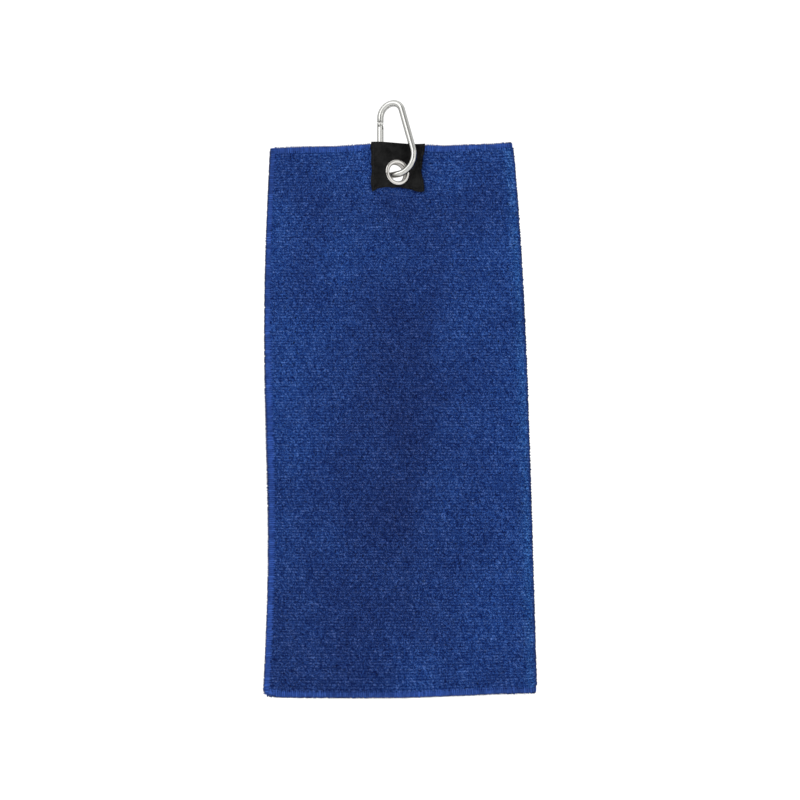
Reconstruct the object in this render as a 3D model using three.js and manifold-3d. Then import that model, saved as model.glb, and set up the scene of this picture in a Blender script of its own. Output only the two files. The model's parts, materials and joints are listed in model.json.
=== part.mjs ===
// Golf towel: a square terry cloth folded once, pierced at its top edge by a grommet that is set
// through a folded reinforcing patch, and hung from a wire carabiner with a sprung gate.
// Millimetres, +Z up, front face towards -Y. The origin is the inside of the carabiner's top bend,
// where the ring of a golf bag bears.
import * as THREE from 'three';
import { mergeVertices } from 'three/addons/utils/BufferGeometryUtils.js';
import Module from 'manifold-3d';

const wasm = await Module();
wasm.setup();

const DEG = Math.PI / 180;
const GAP = 0.3; // clearance between neighbouring pieces

// Cloth, folded once so that the fold is on the right
const TOP_Z = -29.55;
const CLOTH_HEIGHT = 406;
const HALF_THICKNESS = 3.2; // both layers, half of their total thickness
const SLOT_SHARE = 0.14; // half gap between the layers, as a share of the half thickness
const BELLY = 0.04; // the layers swell a little between fold and free edge
const HEM_WIDTH = 5.2; // overlocked band along a cut edge
const LEFT_EDGE_X = -92.3;
const LEFT_EDGE_WAVE = 2.3;
const LEFT_WAVE_START = 20;
const LEFT_WAVE_LENGTH = 380;
const LEFT_EDGE_LEAN = 1.1; // how much further left the free edge lies at the bottom than at the top
const FOLD_TOP_X = 90.3;
const FOLD_SPREAD = 13.2; // how much further right the fold lies at the bottom
const FOLD_SPREAD_LENGTH = 150;
const FOLD_FLARE = 2.1; // and how much more it spreads towards the bottom corner
const STATIONS = 10; // stations on each side of the grommet
const STATION_BIAS = 3;
const CLOTH_ROWS = 18;
const ROW_BIAS = 3;
const FOLD_SEGMENTS = 6;

// Grommet through cloth and patch
const GROMMET = new THREE.Vector3(2.63, -1.12, -51.15);
const GROMMET_TILT = 23 * DEG; // left edge forward, right edge back
const HOLE_RADIUS = 6.5;
const BARREL_WALL = 0.6;
const FLANGE_RADIUS = 9.6;
const STACK_HALF = 2.5; // flange's inner face from the middle of the pinched stack
const FLANGE_THICKNESS = 0.7;
const CURL_THICKNESS = 0.5;
const CURL_RADIUS = 8.3;
const GROMMET_SEGMENTS = 36;
const THROAT_TOP = 1.6; // the straight part of the bore
const THROAT_LOW = -1.4;
const THROAT_FLARE = [0.12, 0.14]; // widening of the bore at the flange and at the curl
const FLARE_HEIGHT = [-2.1, 2.4];
const LIP_OUT = 0.45; // rounding from the bore to the flange's face
const LIP_DEEP = 0.25;
const CURL_LIP_OUT = 0.55; // the same rounding at the curled end
const CURL_LIP_DEEP = 0.38;
const FACE_INNER = 1; // flat of the flange's face, from the bore and from the rim
const FACE_OUTER = 0.9;
const RIM_SOFT = 0.2;
const SHANK_FILLET = 0.4;

// How the grommet and wire draw the cloth into an S and pinch its layers
const PINCH_DEPTH = 2.35;
const PINCH_RADIUS = 30;
const S_SLOPE = Math.tan(GROMMET_TILT);
const S_REACH = 14;
const S_FADE_BELOW = 50;
const S_FADE_ABOVE = 30;

// Reinforcing patch, folded over the top edge
const PATCH_THICKNESS = 0.8;
const PATCH_LEFT = 18.8; // edges from the grommet's centre
const PATCH_RIGHT = 21.5;
const PATCH_LOW_Z = -62.35; // lower edge under the grommet
const PATCH_CORNER_DROP = 4; // how much lower its right corner hangs
const PATCH_LEFT_DROP = 4.6;
const PATCH_CROWN = 0.5; // inside of the fold above the cloth's edge
const PATCH_ROWS = 8;
const PATCH_COLUMNS = 14;
const STITCH_INSET = 1;
const THREAD_RADIUS = 0.28;
const THREAD_STEPS = 30;
const THREAD_SIDES = 5;

// Carabiner, drawn in its own plane (u across, v up) and turned about Z
const CLIP_TURN = 23 * DEG;
const WIRE_RADIUS = 2.4;
const WIRE_SIDES = 12;
const WIRE_STEPS = 66;
const GATE_U = -10.3;
const NOSE_V = -10.5;
const GATE_TIP_V = -12;
const HINGE_V = -44.25;
const WIRE_END_V = -46.95;
const TOP_CORNER_U = 5.64; // where the top run and the spine would meet if they weren't bent
const LOW_CORNER_U = 20.95;
const HEEL_CORNER_V = -50.75;
const TOE_CORNER_V = -53.25;
const TOP_RADIUS_LEFT = 10.3;
const TOP_RADIUS_RIGHT = 7.5;
const HEEL_RADIUS = 14;
const TOE_RADIUS = 6.4;

// Gate joint details
const TONGUE_HALF = 0.75;
const TONGUE_SETBACK = 0.2; // from the wire's own side
const TONGUE_ROOT = 0.5; // how far tongue and tang run into the wire
const TOE_REACH = 0.8; // of the hook past the gate's axis
const TANG_HALF = 0.8;
const FORK_HALF = 1.05;
const TANG_RADIUS = 2;
const TANG_FLAT = 1.7; // cam flat the plunger bears on
const HINGE_PIN_RADIUS = 0.75;
const LATCH_PIN_RADIUS = 0.6;
const LATCH_V = -14.2;
const PIN_HALF_LENGTH = 2.1;
const BORE_RADIUS = 1.4;
const BORE_TOP_V = -29.75;
const PLUNGER_RADIUS = 1.1;
const PLUNGER_LENGTH = 3;
const SPRING_WIRE = 0.22;
const SPRING_TURNS = 7;
const SPRING_SAMPLES = 12; // per turn
const SPRING_SIDES = 5;
const GATE_FORK_TOP_V = -41.35;
const LATCH_SLOT_V = -17;
const GATE_CHAMFER = 3.2;
const CHAMFER_TILT = 30 * DEG;
const CHAMFER_SETBACK = 0.6;
const HEEL_CLEARANCE = 0.05; // the gate's round heel from the wire's own radius
const PIN_SIDES = 16;
const GATE_SIDES = 24;
const BORE_SIDES = 20;
const EYE_SIDES = 28;
const HEEL_SIDES = 32;

/** Distance of a height below the cloth's top edge. */
function below(z) {
  return TOP_Z - z;
}

/** The free edge's x at distance w below the top edge. */
function leftEdge(w) {
  const wave = LEFT_EDGE_WAVE * Math.sin((2 * Math.PI * (w - LEFT_WAVE_START)) / LEFT_WAVE_LENGTH);
  return LEFT_EDGE_X - wave + LEFT_EDGE_LEAN * (0.3 - w / CLOTH_HEIGHT);
}

/** The fold's x at distance w below the top edge. */
function foldEdge(w) {
  const spread = FOLD_SPREAD * (1 - Math.exp(-w / FOLD_SPREAD_LENGTH));
  return FOLD_TOP_X + spread + FOLD_FLARE * (w / CLOTH_HEIGHT) ** 3;
}

/** Half the thickness of the two cloth layers. */
function halfThickness(x, z) {
  const r = Math.hypot(x - GROMMET.x, z - GROMMET.z);
  return HALF_THICKNESS - PINCH_DEPTH * Math.exp(-((r / PINCH_RADIUS) ** 2));
}

/** The middle surface between the layers, drawn into an S across the grommet. */
function middle(x, z) {
  const dx = x - GROMMET.x;
  const dz = z - GROMMET.z;
  const fade = Math.exp(-((Math.min(0, dz) / S_FADE_BELOW) ** 2) - (Math.max(0, dz) / S_FADE_ABOVE) ** 4);
  return GROMMET.y + (fade * S_SLOPE * dx) / (1 + (dx / S_REACH) ** 4 / 3);
}

/** Moves every vertex of a geometry by a rule. */
function mapped(geometry, rule) {
  const position = geometry.attributes.position;
  const p = new THREE.Vector3();
  for (let i = 0; i < position.count; i += 1) {
    p.fromBufferAttribute(position, i);
    rule(p);
    position.setXYZ(i, p.x, p.y, p.z);
  }
  return geometry;
}

/** Stations from -1 to 1, closer together in the middle. */
function stations(from, to, count) {
  const list = [];
  for (let i = 0; i <= count; i += 1) {
    const t = from + ((to - from) * i) / count;
    list.push(Math.sinh(STATION_BIAS * t) / Math.sinh(STATION_BIAS));
  }
  return list;
}

/** Places a point of the cloth: p.x runs -1 to 1 from free edge to fold, p.y across the layers. */
function placeCloth(p, z, leftInset) {
  const w = below(z);
  const left = leftEdge(w) + leftInset;
  const fold = foldEdge(w);
  const foldHalf = halfThickness(fold, z);
  const foldCentre = fold - foldHalf;
  if (p.x > 1) {
    p.set(foldCentre + (p.x - 1) * foldHalf, middle(foldCentre, z) + p.y * foldHalf, z);
    return;
  }
  const span = p.x < 0 ? GROMMET.x - left : foldCentre - GROMMET.x;
  const x = GROMMET.x + p.x * span;
  p.set(x, middle(x, z) + p.y * halfThickness(x, z), z);
}

/** Stations along the front layer, round the fold and back; out points away from the middle. */
function foldedPath() {
  const path = [];
  const across = stations(-1, 1, 2 * STATIONS);
  const swell = (a) => 1 + BELLY * (1 - a * a);
  for (const a of across) {
    path.push({ along: a, out: new THREE.Vector2(0, -swell(a)) });
  }
  for (let i = 1; i < FOLD_SEGMENTS; i += 1) {
    const angle = Math.PI * (i / FOLD_SEGMENTS - 0.5);
    path.push({ along: 1, out: new THREE.Vector2(Math.cos(angle), Math.sin(angle)) });
  }
  for (const a of across.slice().reverse()) {
    path.push({ along: a, out: new THREE.Vector2(0, swell(a)) });
  }
  return path;
}

/** A length of the folded cloth between two heights. */
function foldedBand(topZ, bottomZ, rows, bias, leftInset) {
  const path = foldedPath();
  const spans = path.length - 1;
  const geometry = new THREE.BoxGeometry(1, 1, 1, spans, 1, rows);
  return mapped(geometry, (p) => {
    const { along, out } = path[Math.round((p.x + 0.5) * spans)];
    const share = p.y < 0 ? 1 : SLOT_SHARE;
    const down = 0.5 - p.z;
    const t = bias > 0 ? Math.expm1(bias * down) / Math.expm1(bias) : down;
    p.set(along + share * out.x, share * out.y, 0);
    placeCloth(p, topZ - t * (topZ - bottomZ), leftInset);
  });
}

/** The overlocked band on one layer's free edge; side is -1 for the front layer, 1 for the back. */
function freeEdgeBand(side, topZ, bottomZ) {
  const geometry = new THREE.BoxGeometry(1, 1, 1, 1, 1, CLOTH_ROWS);
  const middleShare = (1 + SLOT_SHARE) / 2;
  const halfShare = (1 - SLOT_SHARE) / 2;
  return mapped(geometry, (p) => {
    const z = (topZ + bottomZ) / 2 + p.z * (topZ - bottomZ);
    const x = leftEdge(below(z)) + (p.x + 0.5) * HEM_WIDTH;
    p.set(x, middle(x, z) + (side * middleShare + 2 * p.y * halfShare) * halfThickness(x, z), z);
  });
}

/** The patch's lower edge at a distance from the grommet's centre line. */
function patchLow(dx) {
  const [deepest, reach] = dx > 0 ? [PATCH_CORNER_DROP, PATCH_RIGHT] : [PATCH_LEFT_DROP, PATCH_LEFT];
  const drop = deepest * (dx / reach) ** 2;
  return PATCH_LOW_Z - drop;
}

/** A point on the patch: a from -1 to 1 across, t from 0 at the fold to 1 at the lower edge. */
function patchPoint(a, t, side, lift) {
  const dx = a * (a < 0 ? PATCH_LEFT : PATCH_RIGHT);
  const x = GROMMET.x + dx;
  const z = TOP_Z + t * (patchLow(dx) - TOP_Z);
  return new THREE.Vector3(x, middle(x, z) + side * (halfThickness(x, z) + GAP + lift), z);
}

/** Stations up the patch's back panel, over the cloth's top edge and down its front panel. */
function patchPath() {
  const path = [];
  const swell = (t) => 1 + BELLY * 4 * t * (1 - t);
  for (let i = PATCH_ROWS; i > 0; i -= 1) {
    const t = i / PATCH_ROWS;
    path.push({ side: 1, t, swell: swell(t) });
  }
  for (let i = 0; i <= FOLD_SEGMENTS; i += 1) {
    path.push({ side: 0, angle: (Math.PI * i) / FOLD_SEGMENTS });
  }
  for (let i = 1; i <= PATCH_ROWS; i += 1) {
    const t = i / PATCH_ROWS;
    path.push({ side: -1, t, swell: swell(t) });
  }
  return path;
}

/** Patch: two panels joined over the cloth's top edge. */
function patchGeometry() {
  const path = patchPath();
  const spans = path.length - 1;
  const geometry = new THREE.BoxGeometry(1, 1, 1, PATCH_COLUMNS, 1, spans);
  return mapped(geometry, (p) => {
    const a = 2 * p.x;
    const layer = p.y > 0 ? 2 : 1;
    const { side, t, swell, angle } = path[Math.round((p.z + 0.5) * spans)];
    if (side !== 0) {
      p.copy(patchPoint(a, t, side, (layer * swell - 1) * PATCH_THICKNESS));
      return;
    }
    const lift = (layer - 1) * PATCH_THICKNESS;
    const x = GROMMET.x + a * (a < 0 ? PATCH_LEFT : PATCH_RIGHT);
    const reach = halfThickness(x, TOP_Z) + GAP + lift;
    p.set(x, middle(x, TOP_Z) + Math.cos(angle) * reach, TOP_Z + Math.sin(angle) * (PATCH_CROWN + lift));
  });
}

/** One thread of the lockstitch: down one side of the patch, along its lower edge and up the other. */
function stitchThread(side) {
  const lift = PATCH_THICKNESS * (1 + 2 * BELLY) + GAP + THREAD_RADIUS;
  const left = -1 + STITCH_INSET / PATCH_LEFT;
  const right = 1 - STITCH_INSET / PATCH_RIGHT;
  const low = 1 - STITCH_INSET / (TOP_Z - PATCH_LOW_Z);
  const start = STITCH_INSET / (TOP_Z - PATCH_LOW_Z);
  const runs = [];
  const count = 7;
  for (let i = 0; i < count; i += 1) {
    runs.push(patchPoint(left, start + ((low - start) * i) / count, side, lift));
  }
  for (let i = 0; i <= 2 * count; i += 1) {
    runs.push(patchPoint(left + ((right - left) * i) / (2 * count), low, side, lift));
  }
  for (let i = count - 1; i >= 0; i -= 1) {
    runs.push(patchPoint(right, start + ((low - start) * i) / count, side, lift));
  }
  const path = new THREE.CatmullRomCurve3(runs, false, 'centripetal');
  return new THREE.ExtrudeGeometry(roundShape(THREAD_RADIUS, THREAD_SIDES), {
    steps: THREAD_STEPS,
    bevelEnabled: false,
    extrudePath: path,
  });
}

/** A regular polygon as a shape. */
function roundShape(radius, sides) {
  const points = [];
  for (let i = 0; i < sides; i += 1) {
    const angle = (2 * Math.PI * i) / sides;
    points.push(new THREE.Vector2(radius * Math.cos(angle), radius * Math.sin(angle)));
  }
  return new THREE.Shape(points);
}

/** A path of straight runs joined by circular bends, in the carabiner's plane. */
function bentPath(corners, radii) {
  const path = new THREE.CurvePath();
  let from = corners[0];
  for (let i = 1; i < corners.length - 1; i += 1) {
    const here = corners[i];
    const into = here.clone().sub(corners[i - 1]).normalize();
    const out = corners[i + 1].clone().sub(here).normalize();
    const turn = into.angleTo(out);
    const reach = radii[i - 1] * Math.tan(turn / 2);
    const handle = (4 / 3) * Math.tan(turn / 4) * radii[i - 1];
    const bendStart = here.clone().addScaledVector(into, -reach);
    const bendEnd = here.clone().addScaledVector(out, reach);
    path.add(new THREE.LineCurve3(from, bendStart));
    const startHandle = bendStart.clone().addScaledVector(into, handle);
    const endHandle = bendEnd.clone().addScaledVector(out, -handle);
    path.add(new THREE.CubicBezierCurve3(bendStart, startHandle, endHandle, bendEnd));
    from = bendEnd;
  }
  path.add(new THREE.LineCurve3(from, corners[corners.length - 1]));
  return path;
}

/** Turns a geometry into a solid for boolean work. */
function solid(geometry) {
  const clean = geometry.clone();
  clean.deleteAttribute('normal');
  clean.deleteAttribute('uv');
  const merged = mergeVertices(clean, 1e-5);
  return new wasm.Manifold(
    new wasm.Mesh({
      numProp: 3,
      vertProperties: new Float32Array(merged.attributes.position.array),
      triVerts: new Uint32Array(merged.index.array),
    }),
  );
}

/** Turns a solid back into a geometry. */
function geometryOf(manifold) {
  const mesh = manifold.getMesh();
  const geometry = new THREE.BufferGeometry();
  geometry.setAttribute('position', new THREE.BufferAttribute(new Float32Array(mesh.vertProperties), 3));
  geometry.setIndex(new THREE.BufferAttribute(new Uint32Array(mesh.triVerts), 1));
  return geometry;
}

/** A box from its lower and upper corners in the carabiner's own axes. */
function block(low, high) {
  const geometry = new THREE.BoxGeometry(high[0] - low[0], high[1] - low[1], high[2] - low[2]);
  return solid(geometry.translate((low[0] + high[0]) / 2, (low[1] + high[1]) / 2, (low[2] + high[2]) / 2));
}

/** A round bar across the carabiner's plane. */
function crossBar(radius, halfLength, v, sides) {
  const geometry = new THREE.CylinderGeometry(radius, radius, 2 * halfLength, sides);
  return solid(geometry.translate(GATE_U, 0, v));
}

/** A round bar up the gate's axis. */
function gateBar(radius, lowV, highV, sides) {
  const geometry = new THREE.CylinderGeometry(radius, radius, highV - lowV, sides);
  return solid(geometry.rotateX(Math.PI / 2).translate(GATE_U, 0, (lowV + highV) / 2));
}

/** Stands a carabiner piece in the part's frame. */
function turned(manifold) {
  return geometryOf(manifold).rotateZ(-CLIP_TURN);
}

/** Grommet piece from its profile of radius and height along the grommet's axis. */
function grommetRing(profile) {
  const points = profile.map(([r, y]) => new THREE.Vector2(r, y));
  points.push(points[0].clone());
  const ring = new THREE.LatheGeometry(points, GROMMET_SEGMENTS);
  return ring.rotateZ(GROMMET_TILT).translate(...GROMMET.toArray());
}

/** Round cutter for the hole the grommet's barrel passes through. */
function barrelHole() {
  const radius = HOLE_RADIUS + BARREL_WALL + GAP;
  const cutter = new THREE.CylinderGeometry(radius, radius, 8 * STACK_HALF, GROMMET_SEGMENTS);
  return solid(cutter.rotateZ(GROMMET_TILT).translate(...GROMMET.toArray()));
}

// Cloth
const hemTopZ = TOP_Z - HEM_WIDTH;
const bottomZ = TOP_Z - CLOTH_HEIGHT;
const hemBottomZ = bottomZ + HEM_WIDTH;
const panel = foldedBand(hemTopZ - GAP, hemBottomZ + GAP, CLOTH_ROWS, ROW_BIAS, HEM_WIDTH + GAP);
const cloth = geometryOf(solid(panel).subtract(barrelHole()));
const overlockTop = foldedBand(TOP_Z, hemTopZ, 2, 0, 0);
const overlockBottom = foldedBand(hemBottomZ, bottomZ, 1, 0, 0);
const overlockFront = freeEdgeBand(-1, hemTopZ - GAP, hemBottomZ + GAP);
const overlockBack = freeEdgeBand(1, hemTopZ - GAP, hemBottomZ + GAP);

// Patch
const patch = geometryOf(solid(patchGeometry()).subtract(barrelHole()));

// Grommet
const barrelOuter = HOLE_RADIUS + BARREL_WALL;
const crown = STACK_HALF + FLANGE_THICKNESS;
const washerTop = STACK_HALF + FLANGE_THICKNESS;
const curlTop = washerTop + GAP + CURL_THICKNESS;
const eyelet = grommetRing([
  [HOLE_RADIUS, THROAT_TOP],
  [HOLE_RADIUS, THROAT_LOW],
  [HOLE_RADIUS + THROAT_FLARE[0], FLARE_HEIGHT[0]],
  [HOLE_RADIUS + LIP_OUT, -crown + LIP_DEEP],
  [HOLE_RADIUS + FACE_INNER, -crown],
  [FLANGE_RADIUS - FACE_OUTER, -crown],
  [FLANGE_RADIUS - RIM_SOFT, -crown + RIM_SOFT],
  [FLANGE_RADIUS, -STACK_HALF - RIM_SOFT / 2],
  [FLANGE_RADIUS - RIM_SOFT, -STACK_HALF],
  [barrelOuter + GAP, -STACK_HALF],
  [barrelOuter, -STACK_HALF + SHANK_FILLET],
  [barrelOuter, washerTop - RIM_SOFT],
  [barrelOuter + GAP, washerTop + GAP],
  [CURL_RADIUS, washerTop + GAP],
  [CURL_RADIUS, curlTop - RIM_SOFT],
  [CURL_RADIUS - RIM_SOFT, curlTop],
  [HOLE_RADIUS + FACE_INNER, curlTop],
  [HOLE_RADIUS + CURL_LIP_OUT, curlTop - CURL_LIP_DEEP],
  [HOLE_RADIUS + THROAT_FLARE[1], FLARE_HEIGHT[1]],
]);
const washer = grommetRing([
  [barrelOuter + 2 * GAP, washerTop - RIM_SOFT],
  [barrelOuter + 2 * GAP, STACK_HALF],
  [FLANGE_RADIUS - RIM_SOFT / 2, STACK_HALF],
  [FLANGE_RADIUS, STACK_HALF + RIM_SOFT],
  [FLANGE_RADIUS - RIM_SOFT, washerTop - RIM_SOFT],
  [FLANGE_RADIUS - FACE_OUTER, washerTop],
]);

// Carabiner frame
const corner = (u, v) => new THREE.Vector3(u, 0, v);
const framePath = bentPath(
  [
    corner(GATE_U, NOSE_V),
    corner(GATE_U, WIRE_RADIUS),
    corner(TOP_CORNER_U, WIRE_RADIUS),
    corner(LOW_CORNER_U, HEEL_CORNER_V),
    corner(GATE_U, TOE_CORNER_V),
    corner(GATE_U, WIRE_END_V),
  ],
  [TOP_RADIUS_LEFT, TOP_RADIUS_RIGHT, HEEL_RADIUS, TOE_RADIUS],
);
const wire = solid(
  new THREE.ExtrudeGeometry(roundShape(WIRE_RADIUS, WIRE_SIDES), {
    steps: WIRE_STEPS,
    bevelEnabled: false,
    extrudePath: framePath,
  }),
);
const outerU = GATE_U - WIRE_RADIUS;
const innerU = GATE_U + WIRE_RADIUS;
const beyond = 2 * WIRE_RADIUS; // cutters reach past the wire's side
const stemInnerU = GATE_U - LATCH_PIN_RADIUS - GAP;
const notchTopV = LATCH_V + LATCH_PIN_RADIUS + GAP;
const toeTopV = LATCH_V - LATCH_PIN_RADIUS - GAP;
const toeLowV = LATCH_SLOT_V + 2 * GAP;
const tongueOuterU = outerU + TONGUE_SETBACK;
const tongueInnerU = innerU - TONGUE_SETBACK;
const tongueRootV = NOSE_V + TONGUE_ROOT;
const tongueRoot = block([tongueOuterU, -TONGUE_HALF, notchTopV], [tongueInnerU, TONGUE_HALF, tongueRootV]);
const tongueStem = block([tongueOuterU, -TONGUE_HALF, toeLowV], [stemInnerU, TONGUE_HALF, tongueRootV]);
const tongueToe = block([tongueOuterU, -TONGUE_HALF, toeLowV], [GATE_U + TOE_REACH, TONGUE_HALF, toeTopV]);
const tangEye = crossBar(TANG_RADIUS, TANG_HALF, HINGE_V, EYE_SIDES);
const tangNeck = block(
  [GATE_U - TANG_RADIUS, -TANG_HALF, WIRE_END_V - TONGUE_ROOT],
  [GATE_U + TANG_RADIUS, TANG_HALF, HINGE_V],
);
const tangTrim = block(
  [GATE_U - beyond, -TANG_HALF - GAP, HINGE_V + TANG_FLAT],
  [GATE_U + beyond, TANG_HALF + GAP, HINGE_V + beyond],
);
const pinHole = crossBar(HINGE_PIN_RADIUS + GAP, beyond, HINGE_V, PIN_SIDES);
const frame = wire
  .add(tongueRoot)
  .add(tongueStem)
  .add(tongueToe)
  .add(tangEye)
  .add(tangNeck)
  .subtract(tangTrim)
  .subtract(pinHole);

// Gate
const gateHeel = crossBar(WIRE_RADIUS - HEEL_CLEARANCE, beyond, HINGE_V, HEEL_SIDES);
const gateAbove = block([GATE_U - beyond, -beyond, HINGE_V], [GATE_U + beyond, beyond, GATE_TIP_V]);
const chamfer = new THREE.BoxGeometry(2 * GATE_CHAMFER, 4 * WIRE_RADIUS, 4 * GATE_CHAMFER)
  .translate(GATE_CHAMFER, 0, 0)
  .rotateY(-CHAMFER_TILT)
  .translate(innerU - CHAMFER_SETBACK, 0, GATE_TIP_V - CHAMFER_SETBACK);
const latchSlot = block(
  [GATE_U - beyond, -FORK_HALF, LATCH_SLOT_V],
  [GATE_U + beyond, FORK_HALF, GATE_TIP_V + GAP],
);
const hingeSlot = block(
  [GATE_U - beyond, -TANG_HALF - GAP, HINGE_V - beyond],
  [GATE_U + beyond, TANG_HALF + GAP, GATE_FORK_TOP_V],
);
const gate = gateBar(WIRE_RADIUS, HINGE_V - WIRE_RADIUS, GATE_TIP_V, GATE_SIDES)
  .intersect(gateHeel.add(gateAbove))
  .subtract(solid(chamfer))
  .subtract(latchSlot)
  .subtract(hingeSlot)
  .subtract(gateBar(BORE_RADIUS, GATE_FORK_TOP_V - GAP, BORE_TOP_V, BORE_SIDES))
  .subtract(crossBar(LATCH_PIN_RADIUS + GAP, beyond, LATCH_V, PIN_SIDES))
  .subtract(pinHole);
const hingePin = crossBar(HINGE_PIN_RADIUS, PIN_HALF_LENGTH, HINGE_V, PIN_SIDES);
const latchPin = crossBar(LATCH_PIN_RADIUS, PIN_HALF_LENGTH, LATCH_V, PIN_SIDES);

// Plunger and spring in the gate's bore
const plungerLowV = HINGE_V + TANG_FLAT + GAP;
const plungerTopV = plungerLowV + PLUNGER_LENGTH;
const plunger = gateBar(PLUNGER_RADIUS, plungerLowV, plungerTopV, PIN_SIDES);
const springLowV = plungerTopV + GAP + SPRING_WIRE;
const springTopV = BORE_TOP_V - GAP - SPRING_WIRE;
const springPoints = [];
const springSamples = SPRING_SAMPLES * SPRING_TURNS;
for (let i = 0; i <= springSamples; i += 1) {
  const angle = (2 * Math.PI * SPRING_TURNS * i) / springSamples;
  const radius = PLUNGER_RADIUS - SPRING_WIRE;
  const v = springLowV + ((springTopV - springLowV) * i) / springSamples;
  springPoints.push(new THREE.Vector3(GATE_U + radius * Math.cos(angle), radius * Math.sin(angle), v));
}
const spring = solid(
  new THREE.ExtrudeGeometry(roundShape(SPRING_WIRE, SPRING_SIDES), {
    steps: springSamples,
    bevelEnabled: false,
    extrudePath: new THREE.CatmullRomCurve3(springPoints),
  }),
);

/** A named piece with its own material. */
function piece(name, geometry, color, roughness, metalness) {
  const material = new THREE.MeshStandardMaterial({ color, roughness, metalness });
  const mesh = new THREE.Mesh(geometry, material);
  mesh.name = name;
  return mesh;
}

const TERRY_BLUE = 0x24396f;
const THREAD_BLUE = 0x2e4c8c;
const BLACK = 0x1c1c1d;
const STEEL = 0xc4c5c2;

const part = new THREE.Group();
part.name = 'golf_towel';
part.add(piece('towel_cloth', cloth, TERRY_BLUE, 0.95, 0));
part.add(piece('overlock_top', overlockTop, THREAD_BLUE, 0.85, 0));
part.add(piece('overlock_bottom', overlockBottom, THREAD_BLUE, 0.85, 0));
part.add(piece('overlock_front_edge', overlockFront, THREAD_BLUE, 0.85, 0));
part.add(piece('overlock_back_edge', overlockBack, THREAD_BLUE, 0.85, 0));
part.add(piece('reinforcing_patch', patch, BLACK, 0.8, 0));
part.add(piece('patch_thread_front', stitchThread(-1), BLACK, 0.7, 0));
part.add(piece('patch_thread_back', stitchThread(1), BLACK, 0.7, 0));
part.add(piece('grommet_eyelet', eyelet, STEEL, 0.15, 1));
part.add(piece('grommet_washer', washer, STEEL, 0.15, 1));
part.add(piece('carabiner_frame', turned(frame), STEEL, 0.2, 1));
part.add(piece('carabiner_gate', turned(gate), STEEL, 0.2, 1));
part.add(piece('gate_hinge_pin', turned(hingePin), STEEL, 0.3, 1));
part.add(piece('gate_latch_pin', turned(latchPin), STEEL, 0.3, 1));
part.add(piece('gate_plunger', turned(plunger), STEEL, 0.3, 1));
part.add(piece('gate_spring', turned(spring), STEEL, 0.3, 1));

export default part;
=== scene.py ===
"""Golf towel: a square terry cloth folded once, hung by its grommet from a wire carabiner."""

import json
import math

import bmesh
import bpy
import numpy as np
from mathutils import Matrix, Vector


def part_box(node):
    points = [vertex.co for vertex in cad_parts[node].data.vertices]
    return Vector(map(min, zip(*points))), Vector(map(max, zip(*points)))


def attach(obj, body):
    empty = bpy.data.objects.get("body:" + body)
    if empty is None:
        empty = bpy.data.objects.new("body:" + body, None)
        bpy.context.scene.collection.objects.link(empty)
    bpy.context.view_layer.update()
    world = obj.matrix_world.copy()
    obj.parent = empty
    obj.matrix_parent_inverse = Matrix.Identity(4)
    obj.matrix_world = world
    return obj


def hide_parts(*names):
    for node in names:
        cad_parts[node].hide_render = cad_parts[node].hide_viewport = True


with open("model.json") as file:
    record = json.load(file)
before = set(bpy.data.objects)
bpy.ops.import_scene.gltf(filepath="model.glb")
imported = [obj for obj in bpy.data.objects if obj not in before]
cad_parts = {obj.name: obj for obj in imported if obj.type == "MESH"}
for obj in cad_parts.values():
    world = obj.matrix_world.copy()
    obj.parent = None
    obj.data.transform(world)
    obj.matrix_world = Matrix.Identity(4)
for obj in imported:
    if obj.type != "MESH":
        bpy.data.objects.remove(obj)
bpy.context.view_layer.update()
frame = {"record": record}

MM = 0.001
rng = np.random.default_rng(7)

joints = {j["name"]: j for j in frame["record"]["behaviour"]["joints"]}


# ---------------------------------------------------------------- driving dimensions, in mm

# Cloth, folded once with the fold on the right
TOP_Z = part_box("overlock_top")[1][2] / MM
BOTTOM_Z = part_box("overlock_bottom")[0][2] / MM
CLOTH_HEIGHT = 406
HALF_THICKNESS = 3.2
SLOT_SHARE = 0.14
BELLY = 0.04
HEM_WIDTH = 5.2
LEFT_EDGE_X = -92.3
LEFT_EDGE_WAVE = 2.3
LEFT_WAVE_START = 20
LEFT_WAVE_LENGTH = 380
LEFT_EDGE_LEAN = 1.1
FOLD_TOP_X = 90.3
FOLD_SPREAD = 13.2
FOLD_SPREAD_LENGTH = 150
FOLD_FLARE = 2.1
ROW_PITCH = 2.1  # rows of loops

# Grommet
GROMMET = np.array(joints["towel_turn"]["pos_m"]) / MM
GROMMET_TILT = math.radians(23)
HOLE_RADIUS = 6.5
BARREL_WALL = 0.6
FLANGE_RADIUS = 9.6
STACK_HALF = 2.5

# Pinch and S drawn into the cloth by the grommet
PINCH_DEPTH = 2.35
PINCH_RADIUS = 30
S_SLOPE = math.tan(GROMMET_TILT)
S_REACH = 14
S_FADE_BELOW = 50
S_FADE_ABOVE = 30

# Patch
PATCH_THICKNESS = 0.8
PATCH_LEFT = 18.8
PATCH_RIGHT = 21.5
PATCH_LOW_Z = -62.35
PATCH_CORNER_DROP = 4
PATCH_LEFT_DROP = 4.6
PATCH_CROWN = 0.5
GAP = 0.3

# Carabiner, in its own plane (u across, v up)
CLIP_TURN = math.radians(23)
WIRE_RADIUS = 2.4
GATE_U = -10.3
NOSE_V = -10.5
GATE_TIP_V = -12
HINGE_V = joints["gate_hinge"]["pos_m"][2] / MM
WIRE_END_V = -46.95
CORNERS = (
    (GATE_U, NOSE_V), (GATE_U, WIRE_RADIUS), (5.64, WIRE_RADIUS),
    (20.95, -50.75), (GATE_U, -53.25), (GATE_U, WIRE_END_V),
)
BENDS = (10.3, 7.5, 14, 6.4)
BORE_TOP_V = -29.75
GATE_FORK_TOP_V = -41.35


# ---------------------------------------------------------------- camera

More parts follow.
